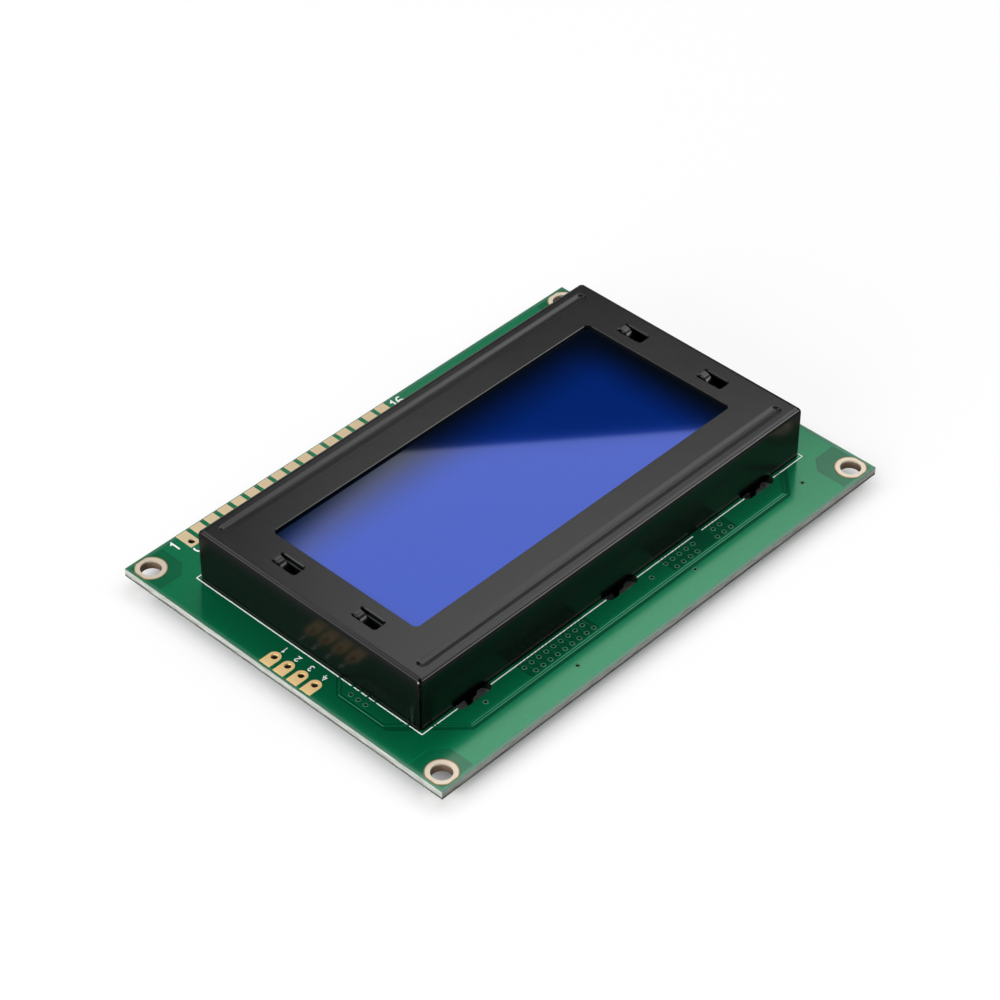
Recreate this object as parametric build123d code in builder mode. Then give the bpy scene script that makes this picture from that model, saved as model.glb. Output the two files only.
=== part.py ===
from build123d import *
import os

# Character display module, 16 characters by 4 lines.
# A blue liquid crystal cell and its edge-lit backlight are clamped to a circuit
# board by a folded steel bezel, whose tabs pass through slots and are twisted.
# Frame: X along the board with pin 1 at -X, Y towards the header edge, Z up
# through the display. The origin is under the board's centre, on the plane
# where the six twisted tabs stand.

os.makedirs("parts", exist_ok=True)

# Circuit board
board_length = 87.0
board_width = 60.0
board_thickness = 1.3
tab_drop = 1.9
plating = 0.05

# Mounting holes: finished diameter inside the plating, and the land round it
mount_inset = 2.5
mount_hole_d = 3.0
mount_land_d = 4.6
mount_land_flat = 2.15

# Header row of plated holes on the +Y edge
header_pins = 16
header_pitch = 2.54
header_first_inset = 10.0
header_row_inset = 2.4
header_hole_d = 1.0
header_land_width = 1.8
header_land_gap = 0.15
header_land_tail = 0.95
header_land_chamfer = 0.45

# Serial row of plated holes on the -X edge
serial_pins = 4
serial_pitch = 2.54
serial_row_inset = 2.25
serial_centre_y = -0.85
serial_hole_d = 1.0
serial_land_width = 1.9
serial_land_gap = 0.4

# Folded bezel: its place on the board, its sheet and its bends
bezel_offset_x = 0.1
bezel_offset_y = 0.3
bezel_end_margin = 5.6
bezel_side_margin = 9.1
bezel_height = 8.75
sheet = 0.5
bend_radius = 0.8
corner_radius = 0.55
seam_gap = 0.2
seam_reach = 1.6
relief_d = 0.35
window_edge_bevel = 0.08

# Liquid crystal cell and its polarisers
glass_end_margin = 4.7
glass_side_gap = 0.9
glass_thickness = 1.1
cell_gap = 0.05
ledge_width = 2.5
polariser_thickness = 0.2
window_end_margin = 2.2
window_side_margin = 6.1
window_corner = 0.8
polariser_lap = 0.9
seal_width = 1.2
seal_inset = 0.6
fill_port_width = 3.0
fill_plug_width = 4.4
fill_plug_depth = 0.55

# Pressed grooves in the bezel that bear on the glass over the connector strips
strip_width = 2.0
strip_inset = 1.1
strip_end_margin = 3.0
groove_width = 1.8
groove_floor = 0.5
groove_end_margin = 2.1

# Lanced tongues in the bezel that hold the glass endways
tongue_width = 1.45
tongue_play = 0.15
tongue_reach = 1.6
tongue_bend = 1.7
tongue_lean = 0.9
tongue_nose = 1.1
tongue_root = 0.5
tongue_edge_round = 0.2
lance_length = 4.3
lance_inner_gap = 0.4
lance_outer_gap = 0.2
lance_corner = 0.35
lance_pitch = 15.0
lance_offset = -0.2
lance_edge_bevel = 0.15

# Twisted tabs of the bezel and the board slots that they pass through
tabs_per_side = 3
tab_pitch = 28.5
tab_neck = 1.8
tab_head = 4.4
tab_twist = 40
tab_head_chamfer = 0.5
slot_width = 2.2
slot_end_room = 1.0
slot_outset = 0.25

# Backlight
housing_overhang = 0.5
housing_led_room = 2.6
housing_wall = 1.1
housing_floor = 1.0
housing_strip_gap = 0.2
reflector_thickness = 0.1
diffuser_thickness = 0.2
diffuser_air = 0.3
guide_play = 0.15
led_count = 3
led_end_inset = 4.0
led_width = 3.0
led_depth = 1.3
led_margin = 1.0
led_play = 0.15
led_board_thickness = 0.8
led_board_side_gap = 2.6
lead_d = 0.6
lead_end_inset = 7.5
lead_stickout = 0.9
lead_play = 0.15
solder_foot_d = 1.7
solder_tip_d = 0.8
solder_height = 0.7

# Parts on the back of the board
blob_height = 1.5
controller_blob_d = 14.0
driver_blob_d = 12.5
controller_die = (3.2, 2.6, 0.4)
driver_die = (2.8, 2.2, 0.4)
chip_length = 2.0
chip_width = 1.25
chip_height = 0.55
chip_end = 0.4
chip_waist = 0.05
resistor_count = 6
resistor_pitch = 4.0
chip_row_y = 12.0
blob_pitch = 23.5
blob_row_y = -3.0

# Heights
board_bottom = tab_drop
board_top = board_bottom + board_thickness
bezel_top = board_top + bezel_height
bezel_roof = bezel_top - sheet
front_glass_top = bezel_roof - polariser_thickness
front_glass_bottom = front_glass_top - glass_thickness
rear_glass_top = front_glass_bottom - cell_gap
rear_glass_bottom = rear_glass_top - glass_thickness
rear_polariser_bottom = rear_glass_bottom - polariser_thickness
diffuser_top = rear_polariser_bottom - diffuser_air
guide_top = diffuser_top - diffuser_thickness
floor_top = board_top + housing_floor
guide_bottom = floor_top + reflector_thickness
guide_thickness = guide_top - guide_bottom

# Plan sizes that follow from the board inwards
bezel_length = board_length - 2 * bezel_end_margin
bezel_width = board_width - 2 * bezel_side_margin
glass_length = bezel_length - 2 * glass_end_margin
glass_width = bezel_width - 2 * sheet - 2 * glass_side_gap
rear_glass_width = glass_width - 2 * ledge_width
window_length = glass_length - 2 * window_end_margin
window_width = glass_width - 2 * window_side_margin
polariser_length = window_length + 2 * polariser_lap
polariser_width = window_width + 2 * polariser_lap
strip_y = glass_width / 2 - strip_inset
strip_length = glass_length - 2 * strip_end_margin
groove_length = bezel_length - 2 * groove_end_margin
groove_depth = polariser_thickness

# Places in plan, with everything of the display set about the bezel's centre
cx = bezel_offset_x
cy = bezel_offset_y
mount_pitch_x = board_length - 2 * mount_inset
mount_pitch_y = board_width - 2 * mount_inset
header_y = board_width / 2 - header_row_inset
header_x = -board_length / 2 + header_first_inset
header_places = [(header_x + i * header_pitch, header_y) for i in range(header_pins)]
serial_x = -board_length / 2 + serial_row_inset
serial_y = serial_centre_y + (serial_pins - 1) * serial_pitch / 2
serial_places = [(serial_x, serial_y - i * serial_pitch) for i in range(serial_pins)]
wall_y = bezel_width / 2 - sheet / 2
tab_xs = [cx + (i - (tabs_per_side - 1) / 2) * tab_pitch for i in range(tabs_per_side)]
tab_places = [(x, side) for side in (-1, 1) for x in tab_xs]
slot_length = tab_head + 2 * slot_end_room
tongue_x = glass_length / 2 + tongue_play + tongue_width / 2
lance_inner = tongue_x - tongue_width / 2 - lance_inner_gap
lance_outer = tongue_x + tongue_width / 2 + lance_outer_gap
lance_width = lance_outer - lance_inner
lance_x = (lance_inner + lance_outer) / 2
lance_y = cy + lance_offset

# Backlight places: the tray runs past the glass at +X, where its lamps stand
tray_start = cx - glass_length / 2 - housing_overhang
tray_end = cx + glass_length / 2 + housing_led_room
tray_width = 2 * (strip_y - strip_width / 2 - housing_strip_gap)
tray_rim = rear_glass_bottom
pocket_start = tray_start + housing_wall
pocket_end = tray_end - housing_wall
pocket_width = tray_width - 2 * housing_wall
led_board_x = pocket_end - led_board_thickness / 2
led_face_x = pocket_end - led_board_thickness
guide_end = led_face_x - guide_play
guide_start = pocket_start + guide_play
guide_width = pocket_width - 2 * guide_play
led_board_width = pocket_width - 2 * led_board_side_gap
led_pitch = (led_board_width - 2 * led_end_inset) / (led_count - 1)
led_height = guide_thickness - 2 * led_margin
led_z = (guide_bottom + guide_top) / 2
led_ys = [cy + (i - (led_count - 1) / 2) * led_pitch for i in range(led_count)]
lead_pitch = led_board_width - 2 * lead_end_inset
lead_places = [(led_board_x, cy - lead_pitch / 2), (led_board_x, cy + lead_pitch / 2)]
lead_bottom = board_bottom - lead_stickout

# Back side places
blob_places = {
    "controller": (cx - blob_pitch, blob_row_y),
    "driver_1": (cx, blob_row_y),
    "driver_2": (cx + blob_pitch, blob_row_y),
}
chip_x = [header_x + i * resistor_pitch for i in range(resistor_count + 2)]
resistor_places = [(x, chip_row_y) for x in chip_x[:resistor_count]]
capacitor_place = (chip_x[-1], chip_row_y)


def finish(builder, name):
    """Label a finished piece and write it to its own file."""
    builder.part.label = name
    export_step(builder.part, f"parts/{name}.step")


def plate(plane_z, length, width, thickness, x=0.0):
    """A flat rectangular piece on the display's centre, standing on plane_z."""
    with BuildSketch(Plane.XY.offset(plane_z)) as outline:
        with Locations((cx + x, cy)):
            Rectangle(length, width)
    extrude(outline.sketch, amount=thickness)


# The board is drilled for the plated holes and the lamp leads, and routed with
# a slot for each tab.
with BuildPart() as circuit_board:
    with BuildSketch(Plane.XY.offset(board_bottom)):
        Rectangle(board_length, board_width)
        with GridLocations(mount_pitch_x, mount_pitch_y, 2, 2):
            Circle(mount_hole_d / 2 + plating, mode=Mode.SUBTRACT)
        with Locations(*header_places):
            Circle(header_hole_d / 2 + plating, mode=Mode.SUBTRACT)
        with Locations(*serial_places):
            Circle(serial_hole_d / 2 + plating, mode=Mode.SUBTRACT)
        with Locations(*lead_places):
            Circle(lead_d / 2 + lead_play, mode=Mode.SUBTRACT)
        with Locations(*[(x, cy + side * (wall_y + slot_outset)) for x, side in tab_places]):
            SlotOverall(slot_length, slot_width, mode=Mode.SUBTRACT)
    extrude(amount=board_thickness)
finish(circuit_board, "circuit_board")

# Mounting lands: a ring on each face, flat where it nears the board's edges,
# joined through the hole by the plated barrel.
corners = [(sx, sy) for sy in (1, -1) for sx in (-1, 1)]
mount_land_cut = (mount_land_d / 2 - mount_land_flat) / 2
for number, (sx, sy) in enumerate(corners, start=1):
    hole_x = sx * mount_pitch_x / 2
    hole_y = sy * mount_pitch_y / 2
    with BuildPart() as mount_land:
        with BuildSketch(Plane.XY.offset(board_top), Plane.XY.offset(board_bottom - plating)):
            with Locations((hole_x, hole_y)):
                Circle(mount_land_d / 2)
            with Locations((hole_x - sx * mount_land_cut, hole_y - sy * mount_land_cut)):
                side_length = mount_land_d / 2 + mount_land_flat
                Rectangle(side_length, side_length, mode=Mode.INTERSECT)
        extrude(amount=plating)
        with BuildSketch(Plane.XY.offset(board_bottom)):
            with Locations((hole_x, hole_y)):
                Circle(mount_hole_d / 2 + plating)
        extrude(amount=board_thickness)
        with Locations((hole_x, hole_y, board_top + plating)):
            Hole(mount_hole_d / 2)
    finish(mount_land, f"mount_land_{number}")

# Header lands run out towards the board's edge and are clipped at their tails.
# The first is left square, which marks pin 1.
header_land_outer = header_row_inset - header_land_gap
header_land_length = header_land_outer + header_land_tail
for number, (pin_x, pin_y) in enumerate(header_places, start=1):
    with BuildPart() as header_land:
        with BuildSketch(Plane.XY.offset(board_top), Plane.XY.offset(board_bottom - plating)) as outline:
            with Locations((pin_x, pin_y + (header_land_outer - header_land_tail) / 2)):
                Rectangle(header_land_width, header_land_length)
            if number > 1:
                tails = outline.vertices().group_by(Axis.Y)[0]
                chamfer(tails, header_land_chamfer)
        extrude(amount=plating)
        with BuildSketch(Plane.XY.offset(board_bottom)):
            with Locations((pin_x, pin_y)):
                Circle(header_hole_d / 2 + plating)
        extrude(amount=board_thickness)
        with Locations((pin_x, pin_y, board_top + plating)):
            Hole(header_hole_d / 2)
    finish(header_land, f"header_land_{number}")

# Serial lands are square towards the board's edge and round about their holes.
serial_land_outer = serial_row_inset - serial_land_gap
for number, (pin_x, pin_y) in enumerate(serial_places, start=1):
    with BuildPart() as serial_land:
        with BuildSketch(Plane.XY.offset(board_top), Plane.XY.offset(board_bottom - plating)):
            with Locations((pin_x - serial_land_outer / 2, pin_y)):
                Rectangle(serial_land_outer, serial_land_width)
            with Locations((pin_x, pin_y)):
                Circle(serial_land_width / 2)
        extrude(amount=plating)
        with BuildSketch(Plane.XY.offset(board_bottom)):
            with Locations((pin_x, pin_y)):
                Circle(serial_hole_d / 2 + plating)
        extrude(amount=board_thickness)
        with Locations((pin_x, pin_y, board_top + plating)):
            Hole(serial_hole_d / 2)
    finish(serial_land, f"serial_land_{number}")

# A tongue of the bezel, with its root at the origin: it leaves the roof level,
# bends down towards -Y and has its upper edges rounded by the press.
with BuildPart() as tongue:
    with BuildSketch(Plane.YZ):
        with BuildLine():
            FilletPolyline(
                (tongue_root, 0),
                (-tongue_nose, 0),
                (-tongue_nose - tongue_lean, -tongue_reach),
                radius=tongue_bend,
            )
            offset(amount=sheet, side=Side.LEFT)
        make_face()
    extrude(amount=tongue_width / 2, both=True)
    upper_side = tongue.faces().filter_by(GeomType.CYLINDER).sort_by(SortBy.AREA)[-1]
    fillet(upper_side.edges().filter_by(GeomType.CIRCLE), tongue_edge_round)

# A pressed groove, with its middle at the origin on the face that it is pressed
# into: each side is two arcs that meet at a slope, and the ends are round.
groove_run = (groove_length - groove_width) / 2
groove_turn = (groove_width + groove_floor) / 4
with BuildSketch(Plane.YZ) as groove_side:
    with BuildLine():
        Polyline((groove_width / 2, 0), (0, 0), (0, -groove_depth), (groove_floor / 2, -groove_depth))
        TangentArc((groove_floor / 2, -groove_depth), (groove_turn, -groove_depth / 2), tangent=(1, 0))
        TangentArc((groove_width / 2, 0), (groove_turn, -groove_depth / 2), tangent=(-1, 0))
    make_face()
with BuildPart() as groove_end:
    revolve(groove_side.sketch, axis=Axis.Z)
with BuildPart() as groove:
    extrude(groove_side.sketch, amount=groove_run, both=True)
    mirror(about=Plane.XZ)
    with Locations((-groove_run, 0), (groove_run, 0)):
        add(groove_end.part)

# A tab of the bezel, with its neck's middle at the origin on the board's back:
# the neck is twisted half way through the slot and widens to a head below it.
twist_height = board_thickness / 2
head_dir = Vector(1, 0, 0).rotate(Axis.Z, tab_twist)
with BuildPart() as tab:
    with BuildSketch(Plane.XY.offset(twist_height)):
        Rectangle(tab_neck, sheet)
    extrude(amount=board_thickness - twist_height + sheet)
    with BuildSketch(Plane.XY.offset(twist_height)):
        Rectangle(tab_neck, sheet)
    with BuildSketch(Plane((0, 0, 0), x_dir=head_dir, z_dir=(0, 0, 1))):
        Rectangle(tab_neck, sheet)
    loft()
    with BuildSketch(Plane((0, 0, 0), x_dir=head_dir, z_dir=head_dir.cross(Vector(0, 0, 1)))) as head:
        with Locations((0, -tab_drop / 2)):
            Rectangle(tab_head, tab_drop)
        chamfer(head.vertices().group_by(Axis.Z)[0], tab_head_chamfer)
    extrude(amount=sheet / 2, both=True)

# The bezel is one sheet: a roof with a window, four folded walls that meet in
# open corner seams, two pressed grooves, four lanced tongues and six tabs.
with BuildPart() as bezel:
    plate(board_top, bezel_length, bezel_width, bezel_height)
    fillet(bezel.edges().filter_by(Axis.Z), corner_radius)
    fillet(bezel.faces().sort_by(Axis.Z)[-1].edges(), bend_radius)
    with BuildSketch(Plane.XY.offset(board_top)):
        with Locations((cx, cy)):
            Rectangle(bezel_length - 2 * sheet, bezel_width - 2 * sheet)
    extrude(amount=bezel_height - sheet, mode=Mode.SUBTRACT)
    inner_roof = bezel.faces().filter_by(Plane.XY).sort_by(Axis.Z)[-2]
    fillet(inner_roof.edges(), bend_radius - sheet)

    # Pressed grooves: a channel in the roof and the same step under it
    for side in (-1, 1):
        with Locations((cx, cy + side * strip_y, bezel_roof)):
            add(groove.part)
        with Locations((cx, cy + side * strip_y, bezel_top)):
            add(groove.part, mode=Mode.SUBTRACT)

    # Window and lanced openings, with their punched edges bevelled
    with BuildSketch(Plane.XY.offset(bezel_roof)):
        with Locations((cx, cy)):
            RectangleRounded(window_length, window_width, window_corner)
    extrude(amount=sheet, mode=Mode.SUBTRACT)
    outer_face = bezel.faces().filter_by(Plane.XY).sort_by(Axis.Z)[-1]
    window_edge = outer_face.inner_wires().sort_by(SortBy.LENGTH)[-1]
    chamfer(window_edge.edges(), window_edge_bevel)
    for side_x in (-1, 1):
        for side_y in (-1, 1):
            with BuildSketch(Plane.XY.offset(bezel_roof)):
                with Locations((cx + side_x * lance_x, lance_y + side_y * lance_pitch / 2)):
                    RectangleRounded(lance_width, lance_length, lance_corner)
            extrude(amount=sheet, mode=Mode.SUBTRACT)
            outer_face = bezel.faces().filter_by(Plane.XY).sort_by(Axis.Z)[-1]
            lance_edge = outer_face.inner_wires().sort_by(SortBy.LENGTH)[0]
            chamfer(lance_edge.edges(), lance_edge_bevel)

    # Tongues, from the +Y end of each opening
    root_y = lance_length / 2
    with Locations(*[
        (cx + side_x * tongue_x, lance_y + side_y * lance_pitch / 2 + root_y, bezel_top)
        for side_x in (-1, 1)
        for side_y in (-1, 1)
    ]):
        add(tongue.part)

    # Corner seams, each a slit on the corner's diagonal that ends in a relief hole
    # where the inner faces of the two walls meet
    for sx in (-1, 1):
        for sy in (-1, 1):
            corner = (cx + sx * bezel_length / 2, cy + sy * bezel_width / 2)
            relief = (corner[0] - sx * sheet, corner[1] - sy * sheet)
            turn = 45 * sx * sy
            with BuildSketch(Plane((corner[0], corner[1], board_top)).rotated((0, 0, turn))):
                Rectangle(2 * seam_reach * sheet, seam_gap)
            extrude(amount=bezel_height, mode=Mode.SUBTRACT)
            with BuildSketch(Plane.XY.offset(bezel_top - bend_radius)):
                with Locations(relief):
                    Circle(relief_d / 2)
            extrude(amount=bend_radius, mode=Mode.SUBTRACT)

    # Tabs, from the lower edges of the two long walls
    with Locations(*[(x, cy + side * wall_y, board_bottom) for x, side in tab_places]):
        add(tab.part)
finish(bezel, "bezel")

# The cell: two glass plates with a printed seal between them and a polariser
# on each outer face. The front plate is wider and carries the contacts.
with BuildPart() as front_polariser:
    plate(front_glass_top, polariser_length, polariser_width, polariser_thickness)
finish(front_polariser, "front_polariser")

with BuildPart() as front_glass:
    plate(front_glass_bottom, glass_length, glass_width, glass_thickness)
finish(front_glass, "front_glass")

seal_length = glass_length - 2 * seal_inset
seal_span = rear_glass_width - 2 * seal_inset
with BuildPart() as cell_seal:
    with BuildSketch(Plane.XY.offset(rear_glass_top)):
        with Locations((cx, cy)):
            Rectangle(seal_length, seal_span)
            Rectangle(seal_length - 2 * seal_width, seal_span - 2 * seal_width, mode=Mode.SUBTRACT)
        with Locations((cx - seal_length / 2, cy)):
            Rectangle(2 * seal_width, fill_port_width, mode=Mode.SUBTRACT)
    extrude(amount=cell_gap)
finish(cell_seal, "cell_seal")

with BuildPart() as rear_glass:
    plate(rear_glass_bottom, glass_length, rear_glass_width, glass_thickness)
finish(rear_glass, "rear_glass")

with BuildPart() as rear_polariser:
    plate(rear_polariser_bottom, polariser_length, polariser_width, polariser_thickness)
finish(rear_polariser, "rear_polariser")

# A bead of resin closes the port through which the cell was filled.
glass_end = cx - glass_length / 2
with BuildPart() as fill_port_plug:
    with BuildSketch(Plane.XY.offset(rear_glass_bottom)):
        with BuildLine():
            ThreePointArc(
                (glass_end, cy - fill_plug_width / 2),
                (glass_end - fill_plug_depth, cy),
                (glass_end, cy + fill_plug_width / 2),
            )
            Line((glass_end, cy + fill_plug_width / 2), (glass_end, cy - fill_plug_width / 2))
        make_face()
    extrude(amount=front_glass_top - rear_glass_bottom)
finish(fill_port_plug, "fill_port_plug")

# Rubber connector strips stand on the board under the two contact ledges.
for number, side in enumerate((-1, 1), start=1):
    with BuildPart() as connector_strip:
        with BuildSketch(Plane.XY.offset(board_top)):
            with Locations((cx, cy + side * strip_y)):
                Rectangle(strip_length, strip_width)
        extrude(amount=front_glass_bottom - board_top)
    finish(connector_strip, f"connector_strip_{number}")

# The backlight tray is a white moulding with one pocket, open at the top.
with BuildPart() as backlight_housing:
    with BuildSketch(Plane.XY.offset(board_top)):
        with Locations(((tray_start + tray_end) / 2, cy)):
            Rectangle(tray_end - tray_start, tray_width)
    extrude(amount=tray_rim - board_top)
    with BuildSketch(Plane.XY.offset(floor_top)):
        with Locations(((pocket_start + pocket_end) / 2, cy)):
            Rectangle(pocket_end - pocket_start, pocket_width)
    extrude(amount=tray_rim - floor_top, mode=Mode.SUBTRACT)
    with BuildSketch(Plane.XY.offset(board_top)):
        with Locations(*lead_places):
            Circle(lead_d / 2 + lead_play)
    extrude(amount=housing_floor, mode=Mode.SUBTRACT)
finish(backlight_housing, "backlight_housing")

guide_middle = (guide_start + guide_end) / 2 - cx
with BuildPart() as reflector_film:
    plate(floor_top, guide_end - guide_start, guide_width, reflector_thickness, guide_middle)
finish(reflector_film, "reflector_film")

# The light guide is a clear block, notched at its end for the lamps.
with BuildPart() as light_guide:
    plate(guide_bottom, guide_end - guide_start, guide_width, guide_thickness, guide_middle)
    notch_depth = led_depth + led_play - guide_play
    with BuildSketch(Plane.XY.offset(led_z - led_height / 2 - led_play)):
        with Locations(*[(guide_end - notch_depth / 2, y) for y in led_ys]):
            Rectangle(notch_depth, led_width + 2 * led_play)
    extrude(amount=led_height + 2 * led_play, mode=Mode.SUBTRACT)
finish(light_guide, "light_guide")

with BuildPart() as diffuser_film:
    plate(guide_top, guide_end - guide_start, guide_width, diffuser_thickness, guide_middle)
finish(diffuser_film, "diffuser_film")

# The lamps are soldered to a strip board that stands at the tray's +X end.
with BuildPart() as lamp_board:
    with BuildSketch(Plane.XY.offset(floor_top)):
        with Locations((led_board_x, cy)):
            Rectangle(led_board_thickness, led_board_width)
    extrude(amount=guide_top - floor_top)
finish(lamp_board, "lamp_board")

for number, lamp_y in enumerate(led_ys, start=1):
    with BuildPart() as lamp:
        with BuildSketch(Plane.XY.offset(led_z - led_height / 2)):
            with Locations((led_face_x - led_depth / 2, lamp_y)):
                Rectangle(led_depth, led_width)
        extrude(amount=led_height)
    finish(lamp, f"lamp_{number}")

# Two leads take current from the strip board down through the tray and board,
# and each is soldered on the back.
for number, (lead_x, lead_y) in enumerate(lead_places, start=1):
    with BuildPart() as lamp_lead:
        with BuildSketch(Plane.XY.offset(lead_bottom)):
            with Locations((lead_x, lead_y)):
                Circle(lead_d / 2)
        extrude(amount=floor_top - lead_bottom)
    finish(lamp_lead, f"lamp_lead_{number}")

    with BuildPart() as lead_solder:
        with BuildSketch(Plane((lead_x, lead_y, 0), x_dir=(1, 0, 0), z_dir=(0, -1, 0))):
            with BuildLine():
                Polyline(
                    (solder_tip_d / 2, board_bottom - solder_height),
                    (lead_d / 2, board_bottom - solder_height),
                    (lead_d / 2, board_bottom),
                    (solder_foot_d / 2, board_bottom),
                )
                SagittaArc(
                    (solder_foot_d / 2, board_bottom),
                    (solder_tip_d / 2, board_bottom - solder_height),
                    solder_height / 6,
                )
            make_face()
        revolve(axis=Axis((lead_x, lead_y, 0), (0, 0, 1)))
    finish(lead_solder, f"lead_solder_{number}")

# The controller and its two segment drivers are bare dies on the board's back,
# each under a domed drop of black resin.
for name, (blob_x, blob_y) in blob_places.items():
    is_controller = name == "controller"
    blob_d = controller_blob_d if is_controller else driver_blob_d
    die_length, die_width, die_height = controller_die if is_controller else driver_die
    with BuildPart() as blob:
        with BuildSketch(Plane((blob_x, blob_y, board_bottom), x_dir=(1, 0, 0), z_dir=(0, -1, 0))):
            with BuildLine():
                TangentArc((0, -blob_height), (blob_d / 2, 0), tangent=(1, 0))
                Polyline((blob_d / 2, 0), (0, 0), (0, -blob_height))
            make_face()
        revolve(axis=Axis((blob_x, blob_y, 0), (0, 0, 1)))
        with BuildSketch(Plane((blob_x, blob_y, board_bottom))):
            Rectangle(die_length, die_width)
        extrude(amount=-die_height, mode=Mode.SUBTRACT)
    finish(blob, f"{name}_blob")

    with BuildPart() as die:
        with BuildSketch(Plane((blob_x, blob_y, board_bottom))):
            Rectangle(die_length, die_width)
        extrude(amount=-die_height)
    finish(die, f"{name}_die")


def chip_part(x, y):
    """A surface-mount chip under the board: a body with thicker wrapped ends."""
    middle_z = board_bottom - chip_height / 2
    with BuildSketch(Plane((x, y, middle_z), x_dir=(1, 0, 0), z_dir=(0, -1, 0))) as side_view:
        Rectangle(chip_length, chip_height)
        with Locations((0, -chip_height / 2)):
            Rectangle(chip_length - 2 * chip_end, 2 * chip_waist, mode=Mode.SUBTRACT)
    extrude(side_view.sketch, amount=chip_width / 2, both=True)


for number, (chip_x, chip_y) in enumerate(resistor_places, start=1):
    with BuildPart() as resistor:
        chip_part(chip_x, chip_y)
    finish(resistor, f"resistor_{number}")

with BuildPart() as capacitor:
    chip_part(*capacitor_place)
finish(capacitor, "capacitor")
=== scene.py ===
import math

import bpy
import numpy as np
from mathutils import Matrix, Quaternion, Vector


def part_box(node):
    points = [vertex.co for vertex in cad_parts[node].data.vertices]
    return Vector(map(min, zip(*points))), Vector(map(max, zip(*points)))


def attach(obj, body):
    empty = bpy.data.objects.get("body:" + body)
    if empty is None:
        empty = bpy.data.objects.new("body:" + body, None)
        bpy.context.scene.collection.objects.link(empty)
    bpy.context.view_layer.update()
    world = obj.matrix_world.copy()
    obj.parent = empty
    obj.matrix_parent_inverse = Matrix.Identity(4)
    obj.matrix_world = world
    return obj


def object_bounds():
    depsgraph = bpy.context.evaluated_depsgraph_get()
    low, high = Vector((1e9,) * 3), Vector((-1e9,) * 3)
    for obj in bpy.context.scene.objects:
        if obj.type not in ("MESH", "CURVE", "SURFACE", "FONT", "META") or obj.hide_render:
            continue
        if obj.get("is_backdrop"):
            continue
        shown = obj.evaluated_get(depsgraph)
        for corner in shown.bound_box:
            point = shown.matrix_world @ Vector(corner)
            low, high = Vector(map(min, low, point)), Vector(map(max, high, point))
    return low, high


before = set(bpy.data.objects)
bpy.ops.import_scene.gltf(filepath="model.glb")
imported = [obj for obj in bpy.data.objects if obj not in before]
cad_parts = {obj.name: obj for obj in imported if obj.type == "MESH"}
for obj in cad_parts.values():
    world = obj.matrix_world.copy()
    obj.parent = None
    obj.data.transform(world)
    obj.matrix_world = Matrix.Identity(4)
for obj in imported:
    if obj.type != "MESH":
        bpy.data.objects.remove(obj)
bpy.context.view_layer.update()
mm = 0.001

# Circuit board: glass-fibre laminate under glossy green solder mask, sawn from a panel.
# The mask shows lighter where copper lies under it: a ground pour with cut-outs at the
# corners and two via fields, and with channels for the traces at the front and the left.
board_low, board_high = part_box("circuit_board")
board_top = board_high.z
half_length = board_high.x / mm
half_width = board_high.y / mm


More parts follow.
